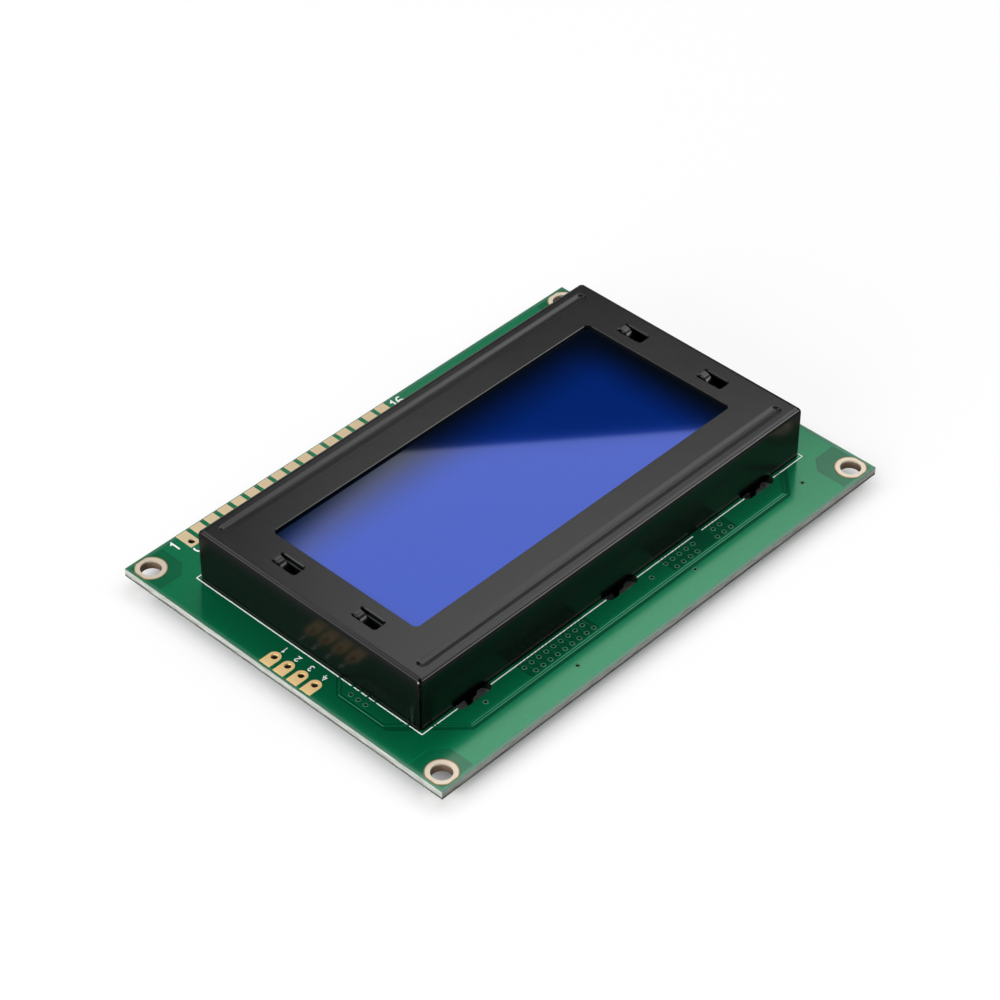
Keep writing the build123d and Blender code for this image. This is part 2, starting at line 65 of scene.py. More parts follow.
class Field:
    """A shader socket in Python arithmetic: every operator adds the Math node that it names."""

    def __init__(self, tree, socket=None):
        self.tree = tree
        self.socket = socket

    def node(self, kind, inputs=(), output=0, **settings):
        """Adds a node: its settings come first, then each socket gets its value or its link."""
        made = self.tree.nodes.new(kind)
        stops = settings.pop("stops", None)
        for name, value in settings.items():
            setattr(made, name, value)
        if stops:
            while len(made.color_ramp.elements) < len(stops):
                made.color_ramp.elements.new(0.5)
            for element, (place, colour) in zip(made.color_ramp.elements, stops):
                element.position = place
                element.color = (*colour, 1)
        for key, value in dict(inputs).items():
            if isinstance(value, Field):
                self.tree.links.new(value.socket, made.inputs[key])
            else:
                made.inputs[key].default_value = value
        return Field(self.tree, made.outputs[output] if made.outputs else None)

    def maths(self, operation, *values):
        """A Math node of that operation on fields or plain numbers."""
        return self.node("ShaderNodeMath", enumerate(values), operation=operation)

    def __add__(self, other):
        return self.maths("ADD", self, other)

    def __sub__(self, other):
        return self.maths("SUBTRACT", self, other)

    def __rsub__(self, other):
        return self.maths("SUBTRACT", other, self)

    def __mul__(self, other):
        return self.maths("MULTIPLY", self, other)

    def __abs__(self):
        return self.maths("ABSOLUTE", self)

    __radd__ = __add__
    __rmul__ = __mul__

    def most(self, *others):
        """The largest of this value and the others."""
        value = self
        for other in others:
            value = self.maths("MAXIMUM", value, other)
        return value

    def least(self, *others):
        """The smallest of this value and the others."""
        value = self
        for other in others:
            value = self.maths("MINIMUM", value, other)
        return value

    def ramp(self, low, high):
        """0 below low, 1 above high, and a smooth S between."""
        names = {"Value": self, "From Min": low, "From Max": high}
        return self.node("ShaderNodeMapRange", names, interpolation_type="SMOOTHSTEP")

    def blend(self, low, high):
        """The colour low where this is 0 and high where it is 1."""
        sockets = {0: self}
        for place, colour in ((6, low), (7, high)):
            sockets[place] = colour if isinstance(colour, Field) else (*colour, 1)
        return self.node("ShaderNodeMix", sockets, output=2, data_type="RGBA")

    def spot(self):
        """Object coordinates as x, y and z in millimetres."""
        place = self.node("ShaderNodeTexCoord", output=3)
        axes = [self.node("ShaderNodeSeparateXYZ", {0: place}, output=i) for i in range(3)]
        return [axis * 1000 for axis in axes]

    def noise(self, size, stretch=(1, 1, 1), detail=3.0):
        """Cloud noise from 0 to 1 with grains of about that size in millimetres."""
        place = self.node("ShaderNodeTexCoord", output=3)
        scale = [1 / (size * mm * s) for s in stretch]
        place = self.node("ShaderNodeVectorMath", {0: place, 1: scale}, operation="MULTIPLY")
        return self.node("ShaderNodeTexNoise", {"Vector": place, "Scale": 1.0, "Detail": detail})

    def bump(self, height, strength=1.0):
        """The normal of a surface raised by height, which is in millimetres."""
        sockets = {"Height": height, "Distance": mm, "Strength": strength}
        return self.node("ShaderNodeBump", sockets)


def finish(name, build):
    """A material whose shader is what build makes of an empty tree: Principled sockets by name."""
    material = bpy.data.materials.new(name)
    material.use_nodes = True
    material.node_tree.nodes.clear()
    tree = Field(material.node_tree)
    surface = tree.node("ShaderNodeBsdfPrincipled", build(tree))
    tree.node("ShaderNodeOutputMaterial", {"Surface": surface})
    return material


def dress(node, material):
    """Gives a carried-over node its finish."""
    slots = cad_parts[node].data.materials
    slots.clear()
    slots.append(material)


# In millimetres: the copper's step under the mask, the depth of the fray that the saw leaves,
# and the heights between which the painted shade on the sawn edge's dark foot fades
mask_relief = 0.035
saw_fray = 0.12
saw_shade = (0.35, 0.85)

# The copper's outline, in millimetres from the board's middle. A via field is the x of its
# middle and its reach to each side.
pour_border = 0.5
corner_cut_x = 37.25
corner_cut_y = 23.1
corner_cut_skew = -0.01
corner_cut_bevel = 1.9
root_half = math.sqrt(0.5)
bus_left_diagonal = -15.75
bus_right_diagonal = -14.27
bus_channel = (24.0, 25.2)
bus_end = 36.0
side_front_diagonal = 0.22
side_rear_diagonal = 17.62
side_channel = (39.85, 40.65)
side_end = -37.0
via_fields = ((-14.0, 6.6), (14.25, 6.45))
via_field_front = -23.95
via_field_back = -20.0


def solder_mask(tree):
    x, y, z = tree.spot()
    normal = tree.node("ShaderNodeNewGeometry", output=1)
    facing = abs(tree.node("ShaderNodeSeparateXYZ", {0: normal}, output=2))
    flat = facing.ramp(0.4, 0.6)

    # Each area without copper is a distance in millimetres that is positive inside it
    across = abs(x)
    along = abs(y)
    border = (across - (half_length - pour_border)).most(along - (half_width - pour_border))
    inner_x = across - corner_cut_x
    inner_y = along - corner_cut_y - x * corner_cut_skew
    corner = inner_x.least(inner_y, (inner_x + inner_y - corner_cut_bevel) * root_half)
    bus = (-1 * y).most((-1 * x - y) * root_half + bus_left_diagonal,
                        (x - y) * root_half + bus_right_diagonal)
    bus_lane = (bus - bus_channel[0]).least(bus_channel[1] - bus, x + side_channel[1], bus_end - x)
    side = (-1 * x).most((-1 * x - y) * root_half + side_front_diagonal,
                         (y - x) * root_half + side_rear_diagonal)
    side_lane = (side - side_channel[0]).least(side_channel[1] - side, side_end - x)
    bare = border.most(corner, bus_lane, side_lane)
    for middle, reach in via_fields:
        bare = bare.most((reach - abs(x - middle)).least(y - via_field_front, via_field_back - y))
    pour = (bare * -1).ramp(-0.05, 0.05)

    grain = tree.noise(0.6)
    cloud = tree.noise(9.0, detail=2.0)
    covered = grain.blend((0.0004, 0.215, 0.083), (0.0010, 0.255, 0.104))
    uncovered = grain.blend((0.0002, 0.080, 0.034), (0.0006, 0.100, 0.046))
    cut_out = grain.blend((0.0003, 0.126, 0.050), (0.0008, 0.150, 0.062))
    uncovered = corner.ramp(-0.1, 0.1).blend(uncovered, cut_out)
    # Painted highlight: the mask is lighter in a narrow band along the board's edges
    rim = border.ramp(-0.3, 0.3)
    mask = pour.blend(rim.blend(uncovered, (0.05, 0.22, 0.13)), covered)

    # Sawn edges show pale strands of glass, ragged and dark at the foot, where a fray line runs up into
    # painted shade; routed slots are painted shade, near black
    strands = tree.noise(0.35, stretch=(6, 6, 0.35), detail=4.0)
    ragged = z - board_low.z / mm + strands * 0.5
    laminate = tree.node("ShaderNodeValToRGB", {0: strands}, stops=(
        (0.25, (0.21, 0.22, 0.19)), (0.5, (0.39, 0.41, 0.37)), (0.75, (0.57, 0.58, 0.55))))
    # Painted shade: the sawn edge grows darker towards its foot
    laminate = ragged.ramp(*saw_shade).blend((0.07, 0.075, 0.07), laminate)
    # Painted shade: the walls of the cuts inside the board are near black
    laminate = border.ramp(-0.5, 0.0).blend((0.012, 0.014, 0.012), laminate)

    relief = pour * mask_relief + grain * 0.003 + cloud * 0.02
    height = flat * relief + (1 - flat) * (strands * saw_fray)
    return {
        "Base Color": flat.blend(laminate, mask),
        "Metallic": flat * (pour * 0.3 + 0.35),
        "Roughness": flat * -0.45 + 0.75,
        "Specular IOR Level": 0.0,
        "Coat Weight": flat * 0.95 + 0.05,
        "Coat Roughness": 0.14,
        "Normal": tree.bump(height),
    }


dress("circuit_board", finish("green_solder_mask", solder_mask))

# Copper under the mask: the bus of two traces along the front edge, a wider one on the
# left side, and a stub from each via of the fields and the left row to the bezel. Each is a
# strip of etched copper whose sloping edges catch the light through the mask.
copper_height = 0.035
copper_slope = 0.07
copper_sink = 0.02
under_bezel_x = -37.9
under_bezel_y = -20.8
bus_bend_y = -21.8


def quads(rows, columns, wrap_rows, wrap_columns):
    """Faces between neighbours on a grid of points, wrapped round where asked."""
    i = np.arange(rows if wrap_rows else rows - 1)[:, None]
    j = np.arange(columns if wrap_columns else columns - 1)[None, :]
    after_i = (i + 1) % rows
    after_j = (j + 1) % columns
    here = i * columns + j
    corners = (here, after_i * columns + j, after_i * columns + after_j, i * columns + after_j)
    return np.stack(np.broadcast_arrays(*corners), axis=-1).reshape(-1, 4).tolist()


def strip(path, profile, cap=0.0):
    """A closed bar along a polyline: each corner's section stands on the mitre, where sideways
    offsets are divided by the cosine of half the turn. Profile points are (sideways, height).
    Past both ends the section shrinks with the cosine as it moves on with the sine of an
    angle, times the radius cap."""
    path = np.asarray(path, float)
    profile = np.asarray(profile, float)
    step = np.diff(path, axis=0)
    step = step / np.linalg.norm(step, axis=1)[:, None]
    before = np.vstack([step[:1], step])
    after = np.vstack([step, step[-1:]])
    mitre = before + after
    mitre = mitre / np.linalg.norm(mitre, axis=1)[:, None]
    stretch = 1 / np.sum(mitre * after, axis=1)
    if cap:
        turn = np.radians([30, 60, 84])
        onward = path[-1] + np.outer(np.sin(turn), step[-1]) * cap
        backward = path[0] - np.outer(np.sin(turn[::-1]), step[0]) * cap
        path = np.vstack([backward, path, onward])
        opening = np.repeat(step[:1], len(turn), axis=0)
        closing = np.repeat(step[-1:], len(turn), axis=0)
        mitre = np.vstack([opening, mitre, closing])
        stretch = np.hstack([np.cos(turn[::-1]), stretch, np.cos(turn)])
    side = np.column_stack([-mitre[:, 1], mitre[:, 0]]) * stretch[:, None]
    points = np.zeros((len(path), len(profile), 3))
    points[:, :, :2] = path[:, None, :] + side[:, None, :] * profile[None, :, :1]
    points[:, :, 2] = profile[None, :, 1]
    count = len(profile)
    faces = quads(len(path), count, False, True)
    first = list(range(count))
    last = list(range((len(path) - 1) * count, len(path) * count))
    return points.reshape(-1, 3), faces + [first, last[::-1]]


def piece(name, parts, material):
    """One object from (points, faces) lists in millimetres over the board's top, riding on the root."""
    points = np.vstack([part_points for part_points, part_faces in parts]) * mm
    points[:, 2] += board_top
    faces = []
    start = 0
    for part_points, part_faces in parts:
        faces += [[start + k for k in face] for face in part_faces]
        start += len(part_points)
    mesh = bpy.data.meshes.new(name)
    mesh.from_pydata(points.tolist(), [], faces)
    mesh.materials.append(material)
    mesh.validate()
    thing = bpy.data.objects.new(name, mesh)
    bpy.context.scene.collection.objects.link(thing)
    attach(thing, "root")


def copper_section(width):
    """A trapezium: copper's flat top with a slope on each side, and a foot sunk in the board."""
    top = width / 2 - copper_slope
    foot = width / 2
    return [(foot, -copper_sink), (foot, 0), (top, copper_height),
            (-top, copper_height), (-foot, 0), (-foot, -copper_sink)]


def bus_path(level):
    """The bus line at that distance from the board's middle: out from under the bezel at the left,
    along the front, and up to the bezel again at the right. It turns where the line y = -level
    meets the two diagonals of the channel."""
    left = level - (level - bus_left_diagonal) / root_half
    right = (level - bus_right_diagonal) / root_half - level
    riser = right + level + bus_bend_y
    return [(left - level - under_bezel_y, under_bezel_y), (left, -level), (right, -level),
            (riser, bus_bend_y), (riser, under_bezel_y)]


def side_path(level):
    """The line on the left side: it steps out from under the bezel, runs down and turns in again.
    It turns where the line x = -level meets the two diagonals of the channel."""
    front = level - (level - side_front_diagonal) / root_half
    rear = (level - side_rear_diagonal) / root_half - level
    return [(under_bezel_x, rear + level + under_bezel_x), (-level, rear), (-level, front),
            (under_bezel_x, front - level - under_bezel_x)]


# Each group of vias has two rows, given by the first one's x and their number
via_pitch = 1.4
side_via_pitch = 1.35
front_rows = (
    ((-20.0, 9), (-19.3, 9)),
    ((7.96, 5), (8.65, 4)),
    ((17.78, 2), (17.04, 3)),
)
front_row_ys = (-22.04, -23.48)
via_places = [
    (first + k * via_pitch, y)
    for group in front_rows
    for (first, count), y in zip(group, front_row_ys)
    for k in range(count)
]
side_vias = [(-39.2, -9.3 - k * side_via_pitch) for k in range(3)]

bus_levels = (24.19, 24.54)
side_level = 40.25
bus_width = 0.24
side_width = 0.36
stub_width = 0.16
stub_end_x = -37.8
stub_end_y = -20.7
traces = [strip(bus_path(level), copper_section(bus_width)) for level in bus_levels]
traces.append(strip(side_path(side_level), copper_section(side_width)))
traces += [strip([(x, y), (x, stub_end_y)], copper_section(stub_width)) for x, y in via_places]
traces += [strip([(x, y), (stub_end_x, y)], copper_section(stub_width)) for x, y in side_vias]


def masked_copper(tree):
    grain = tree.noise(0.6)
    return {
        "Base Color": grain.blend((0.0004, 0.180, 0.070), (0.0010, 0.220, 0.095)),
        "Metallic": 0.55,
        "Roughness": 0.2,
        "Specular IOR Level": 0.0,
        "Coat Weight": 1.0,
        "Coat Roughness": 0.15,
        "Normal": tree.bump(grain * 0.003),
    }


piece("copper_traces", traces, finish("masked_copper", masked_copper))

# Vias: drilled and plated holes that join the two faces, in two fields, a row of three on
# the left and five that stand alone. The mask runs over each one's copper ring and stops
# at the bore, a near-black disc of painted shade in place of the hole's depth.
lone_vias = [(4.57, -22.5), (-28.1, -22.8), (-14.9, -26.8), (9.9, -25.65), (33.8, -24.7)]
via_turns = 28
via_section = [(0.40, -copper_sink), (0.40, 0.0), (0.34, 0.03),
               (0.27, 0.03), (0.21, 0.006), (0.21, -copper_sink)]
via_bore = {"radius": 0.23, "low": -copper_sink, "high": 0.012}


def ring(place, section, turns=via_turns):
    """A profile of (radius, height) turned a full circle about a point."""
    section = np.asarray(section, float)
    angle = np.linspace(0, 2 * math.pi, turns, endpoint=False)[:, None]
    points = np.zeros((turns, len(section), 3))
    points[:, :, 0] = place[0] + np.cos(angle) * section[None, :, 0]
    points[:, :, 1] = place[1] + np.sin(angle) * section[None, :, 0]
    points[:, :, 2] = section[None, :, 1]
    return points.reshape(-1, 3), quads(turns, len(section), True, True)


def disc(place, radius, low, high, turns=via_turns):
    """A low round plug: two circles of points, joined round the side and closed at both ends."""
    angle = np.linspace(0, 2 * math.pi, turns, endpoint=False)
    circle = np.column_stack([place[0] + radius * np.cos(angle), place[1] + radius * np.sin(angle)])
    points = np.zeros((2, turns, 3))
    points[:, :, :2] = circle
    points[0, :, 2] = low
    points[1, :, 2] = high
    faces = [face[::-1] for face in quads(2, turns, False, True)]
    first = list(range(turns))
    return points.reshape(-1, 3), faces + [first[::-1], [turns + k for k in first]]


def thin_mask(tree):
    grain = tree.noise(0.2)
    return {
        "Base Color": grain.blend((0.055, 0.20, 0.11), (0.085, 0.28, 0.16)),
        "Metallic": 0.3,
        "Roughness": 0.35,
        "Normal": tree.bump(grain * 0.004),
    }


# Painted shade: a near-black disc stands for the depth of each bore
def via_shade(tree):
    grain = tree.noise(0.2)
    tone = grain.blend((0.001, 0.003, 0.002), (0.003, 0.008, 0.005))
    return {"Base Color": tone, "Roughness": 0.9, "Specular IOR Level": 0.0}


def both_faces(parts):
    """The parts, and the same on the board's back: heights mirrored in the board's middle plane."""
    depth = (board_top - board_low.z) / mm
    under = [(points * (1, 1, -1) - (0, 0, depth), [face[::-1] for face in faces])
             for points, faces in parts]
    return parts + under


vias = [*via_places, *side_vias, *lone_vias]
via_rings = [ring(place, via_section) for place in vias]
via_bores = [disc(place, **via_bore) for place in vias]
piece("via_rings", both_faces(via_rings), finish("thin_mask", thin_mask))
piece("via_bores", both_faces(via_bores), finish("via_shade", via_shade))

# Lands: copper rings and pads on both faces with a plated barrel through the board,
# finished in thin matt gold for soldering. The rings at the mounting holes are clipped
# near the board's edges and darker round their rim.
mount_inset = 2.5
mount_reach = 2.3
mount_clip = 0.15
mount_rim = 0.1
barrel_shade = (0.1, 0.35)


def plated(low, high, bore, gleam):
    """Matt plating in two tones, smeared by handling, with painted shade in the bore's colour down the
    hole and a Metallic share.
    Near mount_reach from a mounting hole's middle, or where the ring is clipped, it is brown."""

    def build(tree):
        grain = tree.noise(0.12, detail=4.0)
        smear = tree.noise(1.8, stretch=(1, 3, 1))
        tone = smear * 0.6 + grain * 0.4
        x, y, z = tree.spot()
        # Painted shade: a little below the top, the plating turns to the bore's dark colour
        barrel = (board_top / mm - z).ramp(*barrel_shade)
        sideways = abs(x) - (half_length - mount_inset)
        endways = abs(y) - (half_width - mount_inset)
        radius = tree.maths("SQRT", sideways * sideways + endways * endways)
        radius = radius.most(sideways + mount_clip, endways + mount_clip)
        rim = radius.ramp(mount_reach - 2 * mount_rim, mount_reach - mount_rim)
        rim = rim * (1 - radius.ramp(mount_reach, mount_reach + mount_rim))
        face = rim.blend(tone.blend(low, high), (0.42, 0.27, 0.13))
        return {
            "Base Color": barrel.blend(face, bore),
            "Metallic": gleam,
            "Roughness": grain * 0.2 + 0.3,
            "Normal": tree.bump(grain * 0.006),
        }

    return build


# Painted shade for the bores: near black in the small holes, paler brown in the mounting holes
dark_bore_shade = (0.075, 0.065, 0.04)
pale_bore_shade = (0.36, 0.25, 0.18)
# One gold plating in three tones: the serial lands brighter as painted light, the header lands dimmer
# as painted shade, and the mounting rings paler as a painted highlight
land_finishes = {
    "serial": finish("serial_gold_painted_light", plated((0.92, 0.60, 0.25), (1.0, 0.74, 0.36), dark_bore_shade, 0.12)),
    "header": finish("header_gold_painted_shade", plated((0.68, 0.515, 0.31), (0.78, 0.63, 0.40), dark_bore_shade, 0.2)),
    "mount": finish("mount_gold_painted_highlight", plated((0.90, 0.76, 0.58), (1.0, 0.91, 0.75), pale_bore_shade, 0.7)),
}
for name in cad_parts:
    if "_land_" in name:
        dress(name, land_finishes[name.split("_")[0]])

# Printed legend: white epoxy ink, screened on the mask. It outlines the bezel with gaps
# at the slots, and numbers the holes of both rows.
ink_width = 0.16
ink_height = 0.022
ink_foot = 0.004
ink_sink = 0.01
ink_taper = 0.8
outline_x = (-38.0, 38.2)
outline_y = (-21.05, 21.65)
slot_gaps = ((-31.5, -25.3), (-2.94, 3.24), (14.7, 16.5), (25.6, 31.8))
rear_gaps = ((-31.5, -25.3), (-2.94, 3.24), (25.6, 31.8))
side_gap_start = -8.2
side_gap_length = 0.4
side_gap_count = 4


def ink_section(width=ink_width):
    """A flat printed line with bevelled edges, whose foot is sunk in the mask."""
    foot = width / 2
    top = foot * ink_taper
    return [(foot, -ink_sink), (foot, ink_foot), (top, ink_height),
            (-top, ink_height), (-foot, ink_foot), (-foot, -ink_sink)]


def broken_line(start, stop, gaps):
    """The stretches of a line from start to stop that the gaps leave."""
    marks = [start, *[value for gap in gaps for value in gap], stop]
    return list(zip(marks[::2], marks[1::2]))


side_starts = [side_gap_start - k * via_pitch for k in range(side_gap_count)]
side_gaps = [(start, start - side_gap_length) for start in side_starts]
ink_lines = []
for low, high in broken_line(*outline_x, slot_gaps):
    ink_lines.append([(low, outline_y[0]), (high, outline_y[0])])
for low, high in broken_line(*outline_x, rear_gaps):
    ink_lines.append([(low, outline_y[1]), (high, outline_y[1])])
for high, low in broken_line(outline_y[1], outline_y[0], side_gaps):
    ink_lines.append([(outline_x[0], high), (outline_x[0], low)])
ink_lines.append([(outline_x[1], outline_y[0]), (outline_x[1], outline_y[1])])
legend = [strip(line, ink_section()) for line in ink_lines]

# The arc beside the first pin, and the figures, drawn with a round pen
pen_width = 0.26
pin_arc = [(-34.25, 26.3), (-34.33, 26.05), (-34.33, 25.8), (-34.22, 25.5), (-34.0, 25.3)]
legend.append(strip(pin_arc, ink_section(pen_width), pen_width / 2))
pen_strokes = {
    "1": [[(0.0, 0.82), (0.2, 1.0), (0.2, 0.0)]],
    "2": [[(0.0, 0.8), (0.1, 0.95), (0.27, 1.0), (0.45, 0.94), (0.52, 0.78), (0.46, 0.6),
           (0.0, 0.0), (0.55, 0.0)]],
    "3": [[(0.02, 0.9), (0.2, 1.0), (0.4, 0.96), (0.5, 0.78), (0.42, 0.6), (0.22, 0.53)],
          [(0.22, 0.53), (0.44, 0.46), (0.54, 0.28), (0.44, 0.08), (0.24, 0.0), (0.0, 0.1)]],
    "4": [[(0.16, 1.0), (0.0, 0.35), (0.58, 0.35)], [(0.4, 0.65), (0.4, 0.0)]],
    "6": [[(0.48, 0.96), (0.3, 1.0), (0.1, 0.85), (0.0, 0.55), (0.0, 0.25), (0.12, 0.05), (0.3, 0.0),
           (0.48, 0.08), (0.55, 0.28), (0.48, 0.48), (0.3, 0.56), (0.12, 0.5), (0.02, 0.35)]],
}


def figure(digit, place, height, turn=0.0, pen=pen_width):
    """Pen strokes of one figure: its cell is scaled to the height, turned, and moved to the place."""
    cos = math.cos(turn) * height
    sin = math.sin(turn) * height
    spin = np.array([[cos, sin], [-sin, cos]])
    return [strip(np.array(stroke) @ spin + place, ink_section(pen), pen / 2)
            for stroke in pen_strokes[digit]]


pin_figure_height = 1.6
pin_figures = (("1", (-36.0, 27.7)), ("1", (6.35, 27.75)), ("6", (7.3, 27.75)))
for digit, place in pin_figures:
    legend += figure(digit, place, pin_figure_height)

serial_figure_height = 0.95
serial_figure_x = -38.95
serial_figure_y = 2.75
serial_pen = 0.16
hole_pitch = 2.54
for number in range(4):
    place = (serial_figure_x, serial_figure_y - number * hole_pitch)
    legend += figure(str(number + 1), place, serial_figure_height, math.pi / 2, serial_pen)


def white_ink(tree):
    grain = tree.noise(0.15)
    return {
        "Base Color": grain.blend((0.84, 0.90, 0.85), (0.96, 0.97, 0.96)),
        "Roughness": 0.55,
        "Normal": tree.bump(grain * 0.004),
    }


piece("printed_legend", legend, finish("white_ink", white_ink))

# Bezel: one sheet of thin steel, punched, folded and coated satin black. Its tongues
# and grooves are pressed in the same sheet, and its twisted tabs hold it to the board.
wall_slope = (0.1, 0.7)
wall_foot_shade = (0.8, 1.3)


def satin_black(tree):
    """Near-black coat. Metallic over that colour takes gloss away on walls, most at their foot, as
    painted shade.
    """
    grain = tree.noise(0.09, detail=2.0)
    handling = tree.noise(14.0, detail=3.0)
    x, y, z = tree.spot()
    normal = tree.node("ShaderNodeNewGeometry", output=1)
    facing = abs(tree.node("ShaderNodeSeparateXYZ", {0: normal}, output=2))
    upright = 1 - facing.ramp(*wall_slope)
    # Painted shade: the walls, and their foot most of all, mirror less
    foot = 1 - (z - board_top / mm).ramp(*wall_foot_shade)
    return {
        "Base Color": handling.blend((0.005, 0.005, 0.0055), (0.009, 0.009, 0.0095)),
        "Metallic": (upright * 0.6).most(foot * 0.9),
        "Roughness": handling * 0.05 + 0.165,
        "IOR": 1.5,
        "Normal": tree.bump(grain * 0.002 + handling * 0.02),
    }


dress("bezel", finish("satin_black", satin_black))

# Polarisers: glossy blue film, stuck to both faces of the cell. What shows in the window is
# the cell's blue field, with painted shade making it darker at the far end and along the header
# side. That side has less sheen too, painted shade on the reflection in a wedge that is widest at the
# left.
film_low, film_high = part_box("front_polariser")
sheen_slant = 0.18
sheen_painted_shade = (1.5, 7.2)
end_painted_shade = (1.5, 10.0)
side_painted_shade = (0.3, 10.8)


def blue_film(tree):
    x, y, z = tree.spot()
    from_end = film_high.x / mm - x
    from_side = film_high.y / mm - y
    # Painted shade on the reflection: the coat thins in a wedge by the header side
    sheen = (from_side + (x - film_low.x / mm) * sheen_slant).ramp(*sheen_painted_shade)
    # Painted shade: the blue field darkens towards the far end and the header side
    light = from_end.ramp(*end_painted_shade) * from_side.ramp(*side_painted_shade)
    cloud = tree.noise(18.0, detail=1.0)
    field = cloud.blend((0.0003, 0.036, 0.325), (0.0006, 0.039, 0.355))
    return {
        "Base Color": light.blend((0.001, 0.006, 0.018), field),
        "Metallic": 0.6,
        "Roughness": 0.03,
        "Specular IOR Level": 0.0,
        "Coat Weight": sheen * 0.85,
        "Coat Roughness": 0.02,
        "Coat IOR": 1.5,
    }


film_finish = finish("blue_polariser", blue_film)
dress("front_polariser", film_finish)
dress("rear_polariser", film_finish)

# Cell: two plates of thin glass, joined by a printed epoxy seal and closed by a drop of
# resin in the filling port. The plates' cut ends show in the bezel's lanced openings,
# each with a paler arris along its top.
glass_low, glass_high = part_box("front_glass")
glass_middle = (glass_low.x + glass_high.x) / 2 / mm
glass_reach = (glass_high.x - glass_low.x) / 2 / mm
arris_across = (-0.12, -0.08)
arris_down = (-0.14, -0.1)


def cell_glass(tree):
    x, y, z = tree.spot()
    haze = tree.noise(5.0)
    outermost = (abs(x - glass_middle) - glass_reach).ramp(*arris_across)
    arris = outermost * (z - glass_high.z / mm).ramp(*arris_down)
    clear = haze.blend((0.004, 0.005, 0.006), (0.010, 0.012, 0.014))
    return {
        "Base Color": arris.blend(clear, (0.07, 0.08, 0.08)),
        "Roughness": arris * 0.4 + 0.05,
        "IOR": 1.52,
    }


glass_finish = finish("cell_glass", cell_glass)
dress("front_glass", glass_finish)
dress("rear_glass", glass_finish)


def speckled(low, high, size, roughness, **more):
    """A plain moulded or cast surface: two tones mixed by grains of that size."""

    def build(tree):
        grain = tree.noise(size)
        return {
            "Base Color": grain.blend(low, high),
            "Roughness": grain * 0.1 + roughness,
            "Normal": tree.bump(grain * 0.01),
            **more,
        }

    return build


dress("cell_seal", finish("printed_seal", speckled((0.45, 0.44, 0.38), (0.6, 0.58, 0.5), 0.3, 0.6)))
dress("fill_port_plug", finish("port_resin", speckled((0.7, 0.6, 0.3), (0.85, 0.78, 0.5), 1.0, 0.25)))

# Connector strips: bars of silicone rubber in thin layers, every other one filled with
# carbon. The bezel squeezes them between the cell's ledges and the board's contacts.
layer_turn = 35.0


def layered_rubber(tree):
    """Two tones by the sign of a sine along the bar, which turns by layer_turn in a millimetre."""
    x, y, z = tree.spot()
    layer = tree.maths("SINE", x * layer_turn).ramp(-0.2, 0.2)
    return {"Base Color": layer.blend((0.02, 0.02, 0.02), (0.45, 0.22, 0.22)), "Roughness": 0.7}


rubber_finish = finish("layered_rubber", layered_rubber)
dress("connector_strip_1", rubber_finish)
dress("connector_strip_2", rubber_finish)

# Backlight: a white moulded tray under the cell with films, a clear acrylic guide and
# three lamps on a strip board at its end. Two leads carry their current and are soldered
# on the circuit board's back.
tray_finish = finish("white_tray", speckled((0.80, 0.80, 0.78), (0.88, 0.88, 0.86), 2.0, 0.3))
dress("backlight_housing", tray_finish)
film_white = finish("white_film", speckled((0.86, 0.86, 0.86), (0.92, 0.92, 0.92), 0.5, 0.6))
dress("reflector_film", film_white)
dress("diffuser_film", film_white)
dress("light_guide", finish("clear_guide", speckled((0.75, 0.82, 0.86), (0.86, 0.90, 0.93), 3.0, 0.08,
                                                    **{"Transmission Weight": 0.8})))
dress("lamp_board", finish("lamp_board", speckled((0.66, 0.68, 0.62), (0.78, 0.79, 0.74), 0.4, 0.5)))
lamp_finish = finish("lamp_body", speckled((0.80, 0.72, 0.25), (0.92, 0.88, 0.6), 0.8, 0.3))
for number in (1, 2, 3):
    dress(f"lamp_{number}", lamp_finish)
solder_finish = finish("bright_solder", speckled((0.55, 0.56, 0.58), (0.80, 0.80, 0.80), 0.25, 0.25,
                                                 **{"Metallic": 0.9}))
for number in (1, 2):
    dress(f"lamp_lead_{number}", solder_finish)
    dress(f"lead_solder_{number}", solder_finish)

# Chips on the back: the controller and two drivers are bare silicon, glued and wired to
# the board under drops of black epoxy. Six resistors and a capacitor are soldered in a row.
drop_finish = finish("epoxy_drop", speckled((0.006, 0.006, 0.007), (0.02, 0.02, 0.02), 1.2, 0.22))
die_finish = finish("bare_silicon", speckled((0.15, 0.15, 0.18), (0.3, 0.3, 0.36), 0.2, 0.15))
for name in ("controller", "driver_1", "driver_2"):
    dress(f"{name}_blob", drop_finish)
    dress(f"{name}_die", die_finish)

chip_low, chip_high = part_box("capacitor")
chip_middle = (chip_low.x + chip_high.x) / 2 / mm
chip_pitch = 4.0
chip_end = (0.58, 0.64)


def chip(low, high):
    """Ceramic in two tones with tinned ends. How far a point lies from its own chip's middle is
    the fraction of the row's pitch that it stands on, less a half, times the pitch."""

    def build(tree):
        x, y, z = tree.spot()
        beat = tree.maths("FRACT", (x - chip_middle) * (1 / chip_pitch) + 0.5)
        end = abs((beat - 0.5) * chip_pitch).ramp(*chip_end)
        grain = tree.noise(0.15)
        return {
            "Base Color": end.blend(grain.blend(low, high), (0.72, 0.72, 0.72)),
            "Metallic": end * 0.8,
            "Roughness": grain * 0.15 + 0.3,
        }

    return build


resistor_finish = finish("resistor", chip((0.012, 0.012, 0.012), (0.03, 0.03, 0.03)))
for number in range(1, 7):
    dress(f"resistor_{number}", resistor_finish)
dress("capacitor", finish("capacitor", chip((0.22, 0.13, 0.07), (0.34, 0.21, 0.12))))

